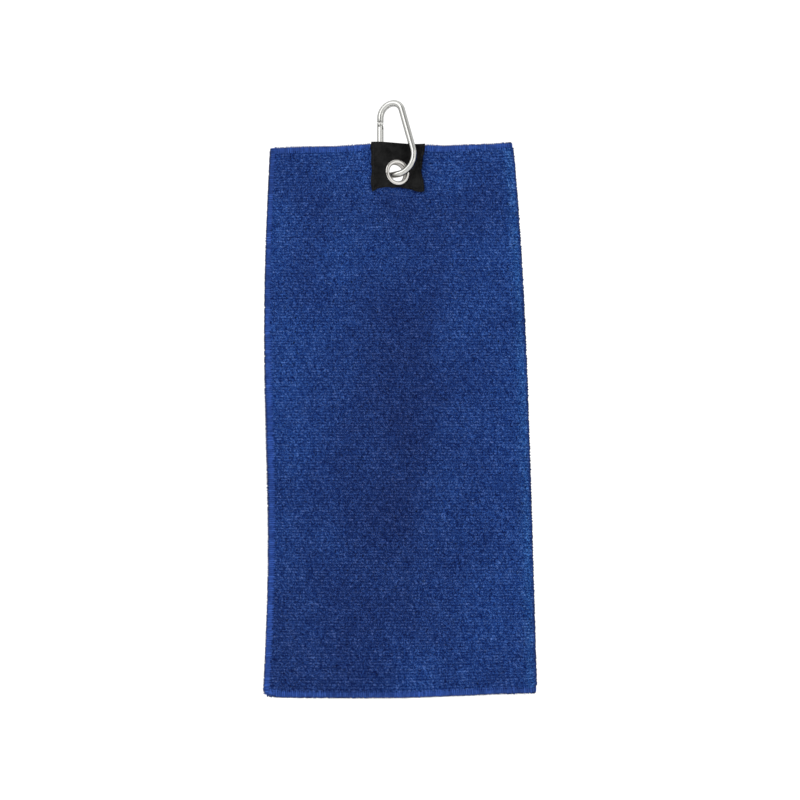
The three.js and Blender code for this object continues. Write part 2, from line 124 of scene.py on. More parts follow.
def make_camera():
    """Long lens, a little below the middle of the towel and looking slightly up."""
    aim = Vector((0.0053, -0.001, -0.2213))
    distance = 1.2
    rise = math.radians(-6.0)
    data = bpy.data.cameras.new("camera")
    data.sensor_width = 36
    half_width = 0.29395
    data.lens = data.sensor_width / 2 / (half_width / distance)
    data.clip_start = 0.01
    camera = bpy.data.objects.new("camera", data)
    bpy.context.scene.collection.objects.link(camera)
    back = Vector((0, -math.cos(rise), math.sin(rise)))
    camera.location = aim + distance * back
    camera.rotation_mode = "QUATERNION"
    camera.rotation_quaternion = (-back).to_track_quat("-Z", "Y")
    bpy.context.scene.camera = camera


make_camera()


# ---------------------------------------------------------------- mesh helpers

def new_object(name, verts, faces, smooth=True):
    """Mesh object from points in mm."""
    mesh = bpy.data.meshes.new(name)
    mesh.from_pydata([tuple(v) for v in np.asarray(verts) * MM], [], faces)
    mesh.validate()
    if smooth:
        mesh.shade_smooth()
    obj = bpy.data.objects.new(name, mesh)
    bpy.context.scene.collection.objects.link(obj)
    return obj


def face_outwards(obj):
    """Points every face outwards."""
    work = bmesh.new()
    work.from_mesh(obj.data)
    bmesh.ops.recalc_face_normals(work, faces=work.faces)
    work.to_mesh(obj.data)
    work.free()


def apply_modifiers(obj):
    bpy.context.view_layer.update()
    graph = bpy.context.evaluated_depsgraph_get()
    mesh = bpy.data.meshes.new_from_object(obj.evaluated_get(graph))
    obj.modifiers.clear()
    old = obj.data
    name = old.name
    obj.data = mesh
    bpy.data.meshes.remove(old)
    mesh.name = name


def boolean(obj, other, operation):
    """Applies a boolean with another object and removes that object."""
    modifier = obj.modifiers.new("cut", "BOOLEAN")
    modifier.object = other
    modifier.operation = operation
    modifier.solver = "EXACT"
    apply_modifiers(obj)
    bpy.data.objects.remove(other)


def clean(obj, distance=0.004, flat=None):
    """Merges coinciding points and drops slivers, doubled faces and loose edges.

    flat is the angle in degrees below which neighbouring faces are joined, or None to leave them.
    """
    work = bmesh.new()
    work.from_mesh(obj.data)
    bmesh.ops.remove_doubles(work, verts=work.verts, dist=distance * MM)
    bmesh.ops.dissolve_degenerate(work, edges=work.edges, dist=distance * MM)
    if flat:
        bmesh.ops.dissolve_limit(work, angle_limit=math.radians(flat), verts=work.verts, edges=work.edges)
    seen = {}
    doubled = []
    for face in work.faces:
        key = frozenset(face.verts)
        if key in seen:
            doubled += [face, seen.pop(key)]
        else:
            seen[key] = face
    bmesh.ops.delete(work, geom=doubled, context="FACES")
    loose = [edge for edge in work.edges if not edge.link_faces]
    bmesh.ops.delete(work, geom=loose, context="EDGES")
    work.to_mesh(obj.data)
    work.free()


def grid_faces(rows, columns, base=0, flip=False):
    """Quads of a grid of rows x columns points, stored row by row."""
    j, i = np.meshgrid(np.arange(rows - 1), np.arange(columns - 1), indexing="ij")
    a = base + j * columns + i
    quads = np.stack([a, a + 1, a + columns + 1, a + columns], axis=-1).reshape(-1, 4)
    if flip:
        quads = quads[:, ::-1]
    return quads.tolist()


def rim(rows, columns, base=0, step=1):
    """Indices round a grid's border, in order."""
    top = [base + i for i in range(0, columns - 1, step)]
    right = [base + j * columns + columns - 1 for j in range(0, rows - 1, step)]
    bottom = [base + (rows - 1) * columns + i for i in range(columns - 1, 0, -step)]
    left = [base + j * columns for j in range(rows - 1, 0, -step)]
    return top + right + bottom + left


def bridge(fine, coarse):
    """Faces between two closed rims, the fine one a whole number of times denser."""
    ratio = len(fine) // len(coarse)
    faces = []
    for k, here in enumerate(coarse):
        after = coarse[(k + 1) % len(coarse)]
        run = [fine[(k * ratio + m) % len(fine)] for m in range(ratio + 1)]
        half = ratio // 2
        for m in range(ratio):
            corner = here if m < half else after
            faces.append([run[m], corner, run[m + 1]])
        faces.append([here, after, run[half]])
    return faces


def tube(points, radius, sides, caps=True, closed=False, up=(0, 0, 1)):
    """Vertices and faces of a tube along points in mm; radius may vary."""
    points = np.asarray(points, float)
    count = len(points)
    if closed:
        tangent = np.roll(points, -1, axis=0) - np.roll(points, 1, axis=0)
    else:
        tangent = np.gradient(points, axis=0)
    tangent /= np.linalg.norm(tangent, axis=1)[:, None]
    side = np.cross(tangent, np.asarray(up, float))
    side /= np.linalg.norm(side, axis=1)[:, None]
    other = np.cross(tangent, side)
    angle = 2 * np.pi * np.arange(sides) / sides
    reach = np.broadcast_to(np.asarray(radius, float), (count,))
    ring = np.cos(angle)[None, :, None] * side[:, None] + np.sin(angle)[None, :, None] * other[:, None]
    verts = (points[:, None] + reach[:, None, None] * ring).reshape(-1, 3)
    faces = []
    spans = count if closed else count - 1
    for k in range(spans):
        for s in range(sides):
            a = k * sides + s
            b = k * sides + (s + 1) % sides
            after = ((k + 1) % count) * sides
            faces.append([a, b, after + (s + 1) % sides, after + s])
    if caps and not closed:
        faces.append(list(range(sides))[::-1])
        faces.append([(count - 1) * sides + s for s in range(sides)])
    return verts, faces


def gather(parts):
    """Joins lists of (verts, faces) into one."""
    verts, faces, base = [], [], 0
    for v, f in parts:
        verts.append(v)
        faces.extend([[base + i for i in face] for face in f])
        base += len(v)
    return np.concatenate(verts), faces


# ---------------------------------------------------------------- the cloth's shape

def left_edge(w):
    """The free edge's x at distance w below the top edge."""
    wave = LEFT_EDGE_WAVE * np.sin(2 * np.pi * (w - LEFT_WAVE_START) / LEFT_WAVE_LENGTH)
    return LEFT_EDGE_X - wave + LEFT_EDGE_LEAN * (0.3 - w / CLOTH_HEIGHT)


def fold_edge(w):
    """The fold's x at distance w below the top edge."""
    spread = FOLD_SPREAD * (1 - np.exp(-w / FOLD_SPREAD_LENGTH))
    return FOLD_TOP_X + spread + FOLD_FLARE * (w / CLOTH_HEIGHT) ** 3


def corner_inset(distance, radius):
    """How far a rounded corner draws an edge in, at a distance from the edge's end."""
    d = np.clip(distance, 0, radius)
    return radius - np.sqrt(radius**2 - (radius - d) ** 2)


def half_thickness(x, z):
    r = np.hypot(x - GROMMET[0], z - GROMMET[2])
    return HALF_THICKNESS - PINCH_DEPTH * np.exp(-((r / PINCH_RADIUS) ** 2))


def middle(x, z):
    """The middle surface between the layers: an S across the grommet and slack waves elsewhere."""
    dx = x - GROMMET[0]
    dz = z - GROMMET[2]
    fade = np.exp(-((np.minimum(0, dz) / S_FADE_BELOW) ** 2) - (np.maximum(0, dz) / S_FADE_ABOVE) ** 4)
    draw = fade * S_SLOPE * dx / (1 + (dx / S_REACH) ** 4 / 3)
    free = 1 - np.exp(-((np.hypot(dx, dz) / 60) ** 4))
    slack = 0.9 * np.sin(x / 31 + z / 140 + 0.6) + 0.7 * np.sin(x / 17 - z / 83 + 2.1)
    slack = slack + 0.6 * np.sin(z / 52 + x / 90)
    return GROMMET[1] + draw + free * slack


TOP_PROFILE = (
    (-93, -3.4), (-75, -2.7), (-45, -1.9), (-20, -0.3), (25, 0.3),
    (38, -0.9), (60, -0.2), (74, 0.3), (84, 1.3), (92, 1.6),
)
BOTTOM_PROFILE = (
    (-95, 0.4), (-88, -1.4), (-60, -1.6), (-20, -1.8), (10, -1.6),
    (30, -0.8), (45, -0.2), (60, 0.4), (75, 1.1), (101, 1.5), (102.4, 2.2), (103.3, 3.7), (105, 4.8),
)


def end_shift(x, z):
    """Small rise and fall of the top and bottom edges, fading out along the cloth."""
    top = np.interp(x, *zip(*TOP_PROFILE)) * np.exp(-(TOP_Z - z) / 30)
    bottom = np.interp(x, *zip(*BOTTOM_PROFILE)) * np.exp(-(z - BOTTOM_Z) / 30)
    return top + bottom


def edges_at(z, layer):
    """Left edge and fold at a height, corners rounded; layer is -1 in front, 1 behind."""
    w = TOP_Z - z
    up = z - BOTTOM_Z
    if layer < 0:
        left = left_edge(w) + corner_inset(w, 1.6) + corner_inset(up, 3.2)
    else:
        left = left_edge(w) + corner_inset(w, 1.2) + corner_inset(up, 1.8) - 0.5 + 0.5 * np.sin(w / 47)
    fold = fold_edge(w) - corner_inset(w, 0.9) - corner_inset(up, 1.0)
    return left, fold


def cloth_point(s, z, share, inset=0.0):
    """A point of the folded cloth.

    s runs 0 to 1 over the front layer, 1 to 2 round the fold and 2 to 3 over the back layer;
    share is how far the surface lies from the middle, as a share of the half thickness.
    """
    s, z = np.broadcast_arrays(np.asarray(s, float), np.asarray(z, float))
    side = np.where(s <= 1.5, -1.0, 1.0)
    left_front, fold = edges_at(z, -1)
    left_back, _ = edges_at(z, 1)
    left = np.where(side < 0, left_front, left_back) + inset
    centre = fold - half_thickness(fold, z)
    run = np.where(side < 0, np.clip(s, 0, 1), np.clip(3 - s, 0, 1))
    x_flat = left + run * (centre - left)
    belly = 1 + BELLY * 4 * run * (1 - run) + 0.16 * np.exp(-(((1 - run) * 190 / 22 - 1) ** 2))
    y_flat = middle(x_flat, z) + side * share * belly * half_thickness(x_flat, z)
    angle = (np.clip(s, 1, 2) - 1.5) * np.pi
    reach = half_thickness(fold, z)
    x_fold = centre + share * reach * np.cos(angle)
    y_fold = middle(centre, z) + share * reach * np.sin(angle)
    in_fold = (s > 1) & (s < 2)
    x = np.where(in_fold, x_fold, x_flat)
    y = np.where(in_fold, y_fold, y_flat)
    up = z - BOTTOM_Z
    lifted = np.where(side < 0, 1.6 * np.exp(-(((x - left_front) / 6) ** 2) - up / 9), 0)
    return np.stack([x, y, z + end_shift(x, z) + lifted], axis=-1)


def surface_normals(points):
    """Unit normals of a grid of points, pointing away from the fold's inside."""
    along = np.gradient(points, axis=1)
    down = np.gradient(points, axis=0)
    normal = np.cross(along, down)
    return normal / np.linalg.norm(normal, axis=-1)[..., None]


def barrel_cutter():
    """Round bar for the hole the grommet's barrel passes through."""
    radius = HOLE_RADIUS + BARREL_WALL + GAP
    axis = np.array([-math.sin(GROMMET_TILT), math.cos(GROMMET_TILT), 0])
    verts, faces = tube([GROMMET - 12 * axis, GROMMET + 12 * axis], radius, 64)
    cutter = new_object("cutter", verts, faces, smooth=False)
    face_outwards(cutter)
    return cutter


def hole_loop(edges, angle_of):
    """Vertices round one surface's hole in order, anticlockwise, with their unwrapped angles."""
    pool = set(edges)
    first = edges[0]
    pool.remove(first)
    loop = [first.verts[0]]
    here = first.verts[1]
    while here is not loop[0]:
        loop.append(here)
        edge = next(e for e in here.link_edges if e in pool)
        pool.remove(edge)
        here = edge.other_vert(here)
    angles = np.unwrap([angle_of(v) for v in loop])
    if angles[-1] < angles[0]:
        loop.reverse()
        angles = angles[::-1]
    return loop, angles


def zip_loops(work, first, second):
    """Triangles between two hole loops given in the same direction."""
    loop_a, angle_a = first
    loop_b, angle_b = second
    turn = 2 * np.pi
    start = int(np.argmin(np.abs((angle_b - angle_a[0] + np.pi) % turn - np.pi)))
    loop_b = loop_b[start:] + loop_b[:start]
    angle_b = np.concatenate([angle_b[start:], angle_b[:start] + turn])
    angle_b = angle_b - turn * round((angle_b[0] - angle_a[0]) / turn)
    i = j = 0
    while i < len(loop_a) or j < len(loop_b):
        next_a = angle_a[i + 1] if i + 1 < len(loop_a) else angle_a[0] + turn
        next_b = angle_b[j + 1] if j + 1 < len(loop_b) else angle_b[0] + turn
        here_a, here_b = loop_a[i % len(loop_a)], loop_b[j % len(loop_b)]
        if j >= len(loop_b) or (i < len(loop_a) and next_a <= next_b):
            i += 1
            work.faces.new((here_a, loop_a[i % len(loop_a)], here_b))
        else:
            j += 1
            work.faces.new((here_a, loop_b[j % len(loop_b)], here_b))


def pierce(obj, surface):
    """Opens the cloth round the grommet's barrel and closes each layer's cut edge.

    surface tells each vertex's face of the cloth: 0 and 1 are the front layer's two faces, and 2 and 3
    are the back layer's.
    """
    radius = (HOLE_RADIUS + BARREL_WALL + GAP) * MM
    axis = Vector((-math.sin(GROMMET_TILT), math.cos(GROMMET_TILT), 0))
    across = Vector((math.cos(GROMMET_TILT), math.sin(GROMMET_TILT), 0))
    centre = Vector(GROMMET * MM)
    work = bmesh.new()
    work.from_mesh(obj.data)
    face_of = {vert: surface[k] for k, vert in enumerate(work.verts)}

    def spoke(vert):
        offset = vert.co - centre
        return offset - offset.dot(axis) * axis

    def angle_of(vert):
        return math.atan2(spoke(vert).z, spoke(vert).dot(across))

    doomed = [v for v in work.verts if spoke(v).length < radius]
    bmesh.ops.delete(work, geom=doomed, context="VERTS")
    rims = [e for e in work.edges if e.is_boundary]
    for vert in {v for e in rims for v in e.verts}:
        out = spoke(vert)
        vert.co += out * (radius / out.length - 1)
    loops = [hole_loop([e for e in rims if face_of[e.verts[0]] == k], angle_of) for k in range(4)]
    zip_loops(work, loops[0], loops[1])
    zip_loops(work, loops[2], loops[3])
    work.to_mesh(obj.data)
    work.free()


FLAT_COLUMNS = 260
FOLD_COLUMNS = 8
INNER_STEP = 4


def painted_drape_light(x, z):
    """How much painted light the cloth gets, 0 to 1.

    Painted shade down the middle where the drape falls back, under the patch and low by the free edge.
    """
    w = TOP_Z - z
    centre = np.exp(-(((x - 2) / 42) ** 2) - ((w - 230) / 125) ** 4)
    low = np.exp(-(((x + 75) / 65) ** 2) - ((w - 410) / 120) ** 2)
    under_patch = 0.5 * np.exp(-((x / 60) ** 2) - ((w - 52) / 24) ** 2)
    return np.clip(1 - 0.95 * centre - 0.95 * low - under_patch, 0, 1)


def make_cloth():
    """Terry sheet: outer face in rows of loops, plain inner face, closed at its borders."""
    top = TOP_Z - HEM_WIDTH + 1.4
    bottom = BOTTOM_Z + HEM_WIDTH - 1.4
    rows = INNER_STEP * round((top - bottom) / (ROW_PITCH / 2) / INNER_STEP) + 1
    s = np.concatenate([
        np.linspace(0, 1, FLAT_COLUMNS, endpoint=False),
        1 + np.linspace(0, 1, FOLD_COLUMNS, endpoint=False),
        2 + np.linspace(0, 1, FLAT_COLUMNS + 1),
    ])
    columns = len(s)
    z = np.linspace(top, bottom, rows)
    inset = HEM_WIDTH - 1.4
    outer = cloth_point(s[None, :], z[:, None], 0.93, inset)
    normal = surface_normals(outer)

    ridge = (np.arange(rows) % 2)[:, None]
    height = ridge * (0.14 + 0.52 * rng.random((rows, columns))) - 0.04 * (1 - ridge)
    height = height + 0.16 * rng.standard_normal((rows, columns))
    border = np.ones((rows, columns))
    border[[0, -1]] = 0
    border[:, [0, -1]] = 0
    sway = 0.12 * rng.standard_normal((rows, columns)) * border
    shift = 0.42 * rng.standard_normal((rows, columns)) * border
    outer = outer + normal * (height * border)[..., None]
    outer[..., 2] += sway
    outer[..., 0] += shift * np.abs(normal[..., 1])

    inner_s = s[::INNER_STEP]
    inner_z = z[::INNER_STEP]
    inner = cloth_point(inner_s[None, :], inner_z[:, None], SLOT_SHARE, inset)
    verts = np.concatenate([outer.reshape(-1, 3), inner.reshape(-1, 3)])
    base = rows * columns
    faces = grid_faces(rows, columns)
    faces += grid_faces(len(inner_z), len(inner_s), base, flip=True)
    faces += bridge(rim(rows, columns), rim(len(inner_z), len(inner_s), base))
    obj = new_object("terry_cloth", verts, faces)
    face_outwards(obj)

    count = inner.size // 3
    # Loop height, which the material turns into painted shade between the rows and painted light on the tips.
    pile = np.concatenate([np.clip(0.25 + height, 0, 1).ravel(), np.full(count, 0.3)])
    fleck = np.concatenate([rng.random(base), np.full(count, 0.5)])
    # In the fold the colour is darkened as painted shade where the roll turns away from the light; a strip
    # just before the fold is made lighter.
    turn = np.where((s > 1) & (s < 2), np.cos((s - 1.5) * np.pi), 0) ** 4
    fold_strip = np.exp(-(((1 - np.minimum(s, 3 - s)) * 190 / 5) ** 2)) * ((s < 1.3) | (s > 1.7))
    edge = np.concatenate([np.tile(0.5 + 0.5 * fold_strip - 0.5 * turn, rows), np.full(count, 0.5)])
    # Painted shade of the drape: darker down the middle, under the patch and low by the free edge.
    nap = painted_drape_light(verts[:, 0], verts[:, 2])
    for name, values in (("pile", pile), ("fleck", fleck), ("edge", edge), ("nap", nap)):
        layer = obj.data.attributes.new(name, "FLOAT", "POINT")
        layer.data.foreach_set("value", values.astype(np.float32))
    behind = np.where(s > 1.5, 2, 0)
    surface = np.concatenate([np.tile(behind, rows), np.tile(behind[::INNER_STEP] + 1, len(inner_z))])
    pierce(obj, surface)
    clean(obj)
    face_outwards(obj)
    obj.data.shade_smooth()
    return obj


# ---------------------------------------------------------------- overlocked edges

STITCH_PITCH = 1.45
THREAD = 0.40  # strand radius
BAND_THICKNESS = 2.3


class Edge:
    """An edge line in mm, resampled by distance: point, outward direction, normal and thickness."""

    def __init__(self, points, outward, thickness):
        self.points = np.asarray(points, float)
        self.outward = outward
        self.thickness = thickness
        step = np.linalg.norm(np.diff(self.points, axis=0), axis=1)
        self.distance = np.concatenate([[0], np.cumsum(step)])
        self.length = self.distance[-1]

    def along(self, d, values):
        d = np.clip(d, 0, self.length)
        if values.ndim == 1:
            return np.interp(d, self.distance, values)
        return np.stack([np.interp(d, self.distance, values[:, k]) for k in range(3)], axis=-1)

    def tangent(self, d):
        t = self.along(np.asarray(d) + 0.5, self.points) - self.along(np.asarray(d) - 0.5, self.points)
        return t / np.linalg.norm(t, axis=-1)[..., None]

    def place(self, d, u, v):
        """Point u outwards from the edge and v, as a share of the thickness, along the normal."""
        outward = self.along(d, self.outward)
        normal = np.cross(self.tangent(d), outward)
        normal /= np.linalg.norm(normal, axis=-1)[..., None]
        half = self.along(d, self.thickness) / 2
        return self.along(d, self.points) + u[..., None] * outward + (v * half)[..., None] * normal


def squarish(angle, power):
    """Rounded rectangle outline as cosine and sine pushed towards the corners."""
    c, s = np.cos(angle), np.sin(angle)
    return np.sign(c) * np.abs(c) ** power, np.sign(s) * np.abs(s) ** power


CORE_SIDES = 14
STRAND_SEGMENTS = 15
STRAND_SIDES = 5


def make_overlock(name, edge, width=HEM_WIDTH):
    """A compressed edge wrapped in closely set loops of thread."""
    samples = max(8, int(edge.length / 3))
    d = np.linspace(0, edge.length, samples)[:, None]
    c, s = squarish(2 * np.pi * np.arange(CORE_SIDES) / CORE_SIDES, 0.75)
    u = -width / 2 + (width / 2 - 0.3) * c
    core = edge.place(d + 0 * u, u + 0 * d, 0.86 * s + 0 * d)
    quads = []
    for k in range(samples - 1):
        for m in range(CORE_SIDES):
            a, b = k * CORE_SIDES + m, k * CORE_SIDES + (m + 1) % CORE_SIDES
            quads.append([a, b, b + CORE_SIDES, a + CORE_SIDES])
    quads.append(list(range(CORE_SIDES))[::-1])
    quads.append([(samples - 1) * CORE_SIDES + m for m in range(CORE_SIDES)])
    parts = [(core.reshape(-1, 3), quads)]
    # Attribute 'rim' marks how far round the outer edge a point lies; the material darkens it there as
    # painted shade.
    rims = [np.tile(np.clip(c, 0, 1) ** 3, samples)]
    # The core, seen in the gaps between the loops, takes a dark tone: painted shade between the strands.
    tones = [np.full(core.size // 3, 0.1)]

    count = int(edge.length / STITCH_PITCH)
    turn = np.linspace(0.06, 0.94, STRAND_SEGMENTS)
    for k in range(count):
        start = (k + 0.5 + 0.14 * rng.standard_normal()) * edge.length / count
        along = start + STITCH_PITCH * (turn - 0.5) * 0.9
        c, s = squarish(np.pi + 2 * np.pi * turn, 0.7)
        reach = width / 2 + 0.02 + 0.26 * rng.random()
        line = edge.place(along, -width / 2 + reach * c, 1.04 * s)
        radius = THREAD * (0.9 + 0.25 * rng.random()) * np.ones(STRAND_SEGMENTS)
        radius[[0, -1]] *= 0.5
        parts.append(tube(line, radius, STRAND_SIDES, up=edge.tangent(start)))
        # Painted shade where this loop turns round the outer edge.
        rims.append(np.repeat(np.clip(c, 0, 1) ** 3, STRAND_SIDES))
        tones.append(np.full(STRAND_SEGMENTS * STRAND_SIDES, rng.random()))
    verts, faces = gather(parts)
    obj = new_object(name, verts, faces)
    for title, values in (("rim", rims), ("tone", tones)):
        layer = obj.data.attributes.new(title, "FLOAT", "POINT")
        layer.data.foreach_set("value", np.concatenate(values).astype(np.float32))
    face_outwards(obj)
    return obj


LAYER_SHARE = (1 + SLOT_SHARE) / 2


def band_thickness(points):
    """The overlock's thickness, less where the grommet pinches the layer."""
    return np.minimum(BAND_THICKNESS, 0.6 * half_thickness(points[:, 0], points[:, 2]))


def make_side_band(name, s_side):
    """Overlock up one layer's free edge."""
    z = np.linspace(TOP_Z - 0.6, BOTTOM_Z + 0.6, 160)
    points = cloth_point(np.full_like(z, s_side), z, LAYER_SHARE)
    outward = np.tile([-1.0, 0, 0], (len(z), 1))
    return make_overlock(name, Edge(points, outward, band_thickness(points)))


def make_end_band(name, z_edge, direction):
    """Overlock along the top or bottom edge: front layer, fold and back layer."""
    front = np.linspace(0.004, 1, 160)
    over_fold = 1 + np.linspace(0.1, 0.9, 9)
    back = 2 + np.linspace(0, 0.996, 160)
    s = np.concatenate([front, over_fold, back])
    z = np.full_like(s, z_edge)
    points = cloth_point(s, z, LAYER_SHARE)
    outward = np.tile([0, 0, direction], (len(s), 1))
    return make_overlock(name, Edge(points, outward, band_thickness(points)))


# ---------------------------------------------------------------- patch and its stitching

def patch_low(dx):
    """Height of the patch's lower edge at a distance from the grommet's centre line."""
    right = PATCH_CORNER_DROP * (dx / PATCH_RIGHT) ** 2
    left = PATCH_LEFT_DROP * (dx / PATCH_LEFT) ** 2
    return PATCH_LOW_Z - np.where(dx > 0, right, left)


def patch_point(a, t, side, lift):
    """A point on the patch: a from -1 to 1 across, t from 0 at the fold to 1 at the lower edge."""
    a, t = np.broadcast_arrays(np.asarray(a, float), np.asarray(t, float))
    waist = 1 - 0.11 * np.sin(np.pi * np.clip(t, 0, 1)) * (a > 0) * (side < 0) * a**2
    dx = a * np.where(a < 0, PATCH_LEFT, PATCH_RIGHT) * waist
    x = GROMMET[0] + dx
    z = TOP_Z + t * (patch_low(dx) - TOP_Z)
    ragged = np.abs(a) ** 14 * t**14
    x = x + (0.30 * np.sin(9 * t + 1 + side) + 0.20 * np.sin(19 * t)) * a**3 - 1.0 * np.sign(a) * ragged
    z = z + (0.35 * np.sin(7 * a + 0.5 + side) + 0.22 * np.sin(15 * a)) * t**4 + 1.0 * ragged
    low = np.clip(t, 0, 1) ** 6
    curl = 1.3 * np.clip(a, 0, 1) ** 3 * low + 0.4 * np.clip(-a, 0, 1) ** 4 * low
    y = middle(x, z) + side * (half_thickness(x, z) + GAP + lift + curl)
    return np.stack([x, y, z], axis=-1)


PATCH_COLUMNS = 56
PATCH_ROWS = 40
PATCH_FOLD = 8


def patch_surface(lift, rise):
    """One face of the patch as a grid, from the front's lower edge over the top to the back's."""
    a = np.linspace(-1, 1, PATCH_COLUMNS)[None, :]
    t = np.linspace(1, 0, PATCH_ROWS, endpoint=False)[:, None]
    front = patch_point(a, t, -1, lift)
    back = patch_point(a, t[::-1], 1, lift)
    angle = np.linspace(0, np.pi, PATCH_FOLD)[:, None]
    x = GROMMET[0] + a * np.where(a < 0, PATCH_LEFT, PATCH_RIGHT)
    reach = half_thickness(x, TOP_Z) + GAP + lift
    y = middle(x, TOP_Z) - np.cos(angle) * reach
    z = TOP_Z + (PATCH_CROWN + rise) * np.sin(angle) + np.zeros_like(x)
    crown = np.stack([np.broadcast_to(x, y.shape), y, z], axis=-1)
    return np.concatenate([front, crown, back])


def make_patch():
    outer = patch_surface(PATCH_THICKNESS, PATCH_THICKNESS)
    inner = patch_surface(0.0, 0.0)
    rows, columns = outer.shape[:2]
    base = rows * columns
    faces = grid_faces(rows, columns) + grid_faces(rows, columns, base, flip=True)
    faces += bridge_same(rim(rows, columns), rim(rows, columns, base))
    obj = new_object("patch", np.concatenate([outer.reshape(-1, 3), inner.reshape(-1, 3)]), faces)
    face_outwards(obj)
    boolean(obj, barrel_cutter(), "DIFFERENCE")
    bevel = obj.modifiers.new("edge", "BEVEL")
    bevel.width = 0.18 * MM
    bevel.segments = 2
    bevel.limit_method = "ANGLE"
    bevel.angle_limit = math.radians(50)
    obj.data.shade_smooth()
    return obj


def bridge_same(first, second):
    """Quads between two rims of the same length."""
    count = len(first)
    return [[first[k], second[k], second[(k + 1) % count], first[(k + 1) % count]] for k in range(count)]


def make_stitches(name, side):
    """Separate stitches down one side of the patch, along its lower edge and up the other."""
    inset = 1.7
    a_left = -1 + inset / PATCH_LEFT
    a_right = 1 - inset / PATCH_RIGHT
    t_low = 1 - 1.1 / (TOP_Z - PATCH_LOW_Z)
    down = np.linspace(0.06, t_low, 60)
    over = np.linspace(a_left, a_right, 80)
    a = np.concatenate([np.full(60, a_left), over[1:-1], np.full(60, a_right)])
    t = np.concatenate([down, np.full(78, t_low), down[::-1]])
    line = patch_point(a, t, side, PATCH_THICKNESS + 0.05)
    step = np.linalg.norm(np.diff(line, axis=0), axis=1)
    distance = np.concatenate([[0], np.cumsum(step)])
    pitch = 2.4
    count = int(distance[-1] / pitch)
    parts = []
    for k in range(count):
        d = (k + np.linspace(0.1, 0.9, 7)) * distance[-1] / count
        p = np.stack([np.interp(d, distance, line[:, c]) for c in range(3)], axis=-1)
        dip = 0.16 * np.sin(np.linspace(0, np.pi, 7))
        p[:, 1] += side * (dip - 0.05)
        radius = 0.21 * np.sin(np.linspace(0.5, np.pi - 0.5, 7)) ** 0.5
        parts.append(tube(p, radius, 6, up=(0, 1, 0)))
    verts, faces = gather(parts)
    obj = new_object(name, verts, faces)
    face_outwards(obj)
    return obj


# ---------------------------------------------------------------- grommet

def smooth_profile(points, per_span=5):
    """Closed profile rounded through its points."""
    points = np.asarray(points, float)
    count = len(points)
    result = []
    for k in range(count):
        p0, p1, p2, p3 = (points[(k + m) % count] for m in (-1, 0, 1, 2))
        for t in np.arange(per_span) / per_span:
            tangent1, tangent2 = (p2 - p0) / 2.6, (p3 - p1) / 2.6
            h1 = 2 * t**3 - 3 * t**2 + 1
            h2 = t**3 - 2 * t**2 + t
            h3 = -2 * t**3 + 3 * t**2
            h4 = t**3 - t**2
            result.append(h1 * p1 + h2 * tangent1 + h3 * p2 + h4 * tangent2)
    return np.array(result)


def lathe(name, profile, segments=96):
    """Ring turned about the grommet's axis."""
    profile = smooth_profile(profile)
    angle = 2 * np.pi * np.arange(segments) / segments
    across = np.array([math.cos(GROMMET_TILT), math.sin(GROMMET_TILT), 0])
    axis = np.array([-math.sin(GROMMET_TILT), math.cos(GROMMET_TILT), 0])
    up = np.array([0, 0, 1.0])
    r, y = profile[:, 0], profile[:, 1]
    radial = np.cos(angle)[:, None] * across + np.sin(angle)[:, None] * up
    verts = GROMMET + r[None, :, None] * radial[:, None] + y[None, :, None] * axis
    count = len(profile)
    faces = []
    for k in range(segments):
        for s in range(count):
            a, b = k * count + s, k * count + (s + 1) % count
            after = ((k + 1) % segments) * count
            faces.append([a, b, after + (s + 1) % count, after + s])
    obj = new_object(name, verts.reshape(-1, 3), faces)
    face_outwards(obj)
    return obj


def make_grommet():
    outer = HOLE_RADIUS + BARREL_WALL
    crown = STACK_HALF + 0.8
    top = STACK_HALF + 0.7
    curl = top + GAP + 0.5
    eyelet = lathe("eyelet", [
        (HOLE_RADIUS, 1.2), (HOLE_RADIUS, -1.2), (HOLE_RADIUS + 0.12, -2.1),
        (HOLE_RADIUS + 0.5, -crown + 0.35), (HOLE_RADIUS + 1.2, -crown),
        (FLANGE_RADIUS - 1.1, -crown - 0.02), (FLANGE_RADIUS - 0.35, -crown + 0.25),
        (FLANGE_RADIUS, -STACK_HALF - 0.2), (FLANGE_RADIUS - 0.2, -STACK_HALF),
        (outer + 1.0, -STACK_HALF - 0.15),
        (outer + 0.2, -STACK_HALF + 0.3), (outer, 0), (outer, top - 0.2), (outer + 0.4, top + GAP),
        (8.1, top + GAP), (8.3, curl - 0.2), (8.0, curl), (HOLE_RADIUS + 1.05, curl + 0.02),
        (HOLE_RADIUS + 0.5, curl - 0.35), (HOLE_RADIUS + 0.14, 2.4),
    ])
    washer = lathe("grommet_ring_back", [
        (outer + 0.6, top - 0.1), (outer + 0.6, STACK_HALF), (FLANGE_RADIUS - 0.8, STACK_HALF - 0.02),
        (FLANGE_RADIUS, STACK_HALF + 0.15), (FLANGE_RADIUS - 0.25, top - 0.1), (FLANGE_RADIUS - 0.9, top),
    ])
    return eyelet, washer


# ---------------------------------------------------------------- carabiner

def clip_points(points):
    """Points of the carabiner's plane (u, n, v) placed in the part's frame."""
    points = np.asarray(points, float)
    u, n, v = points[..., 0], points[..., 1], points[..., 2]
    c, s = math.cos(CLIP_TURN), math.sin(CLIP_TURN)
    return np.stack([c * u + s * n, -s * u + c * n, v], axis=-1)


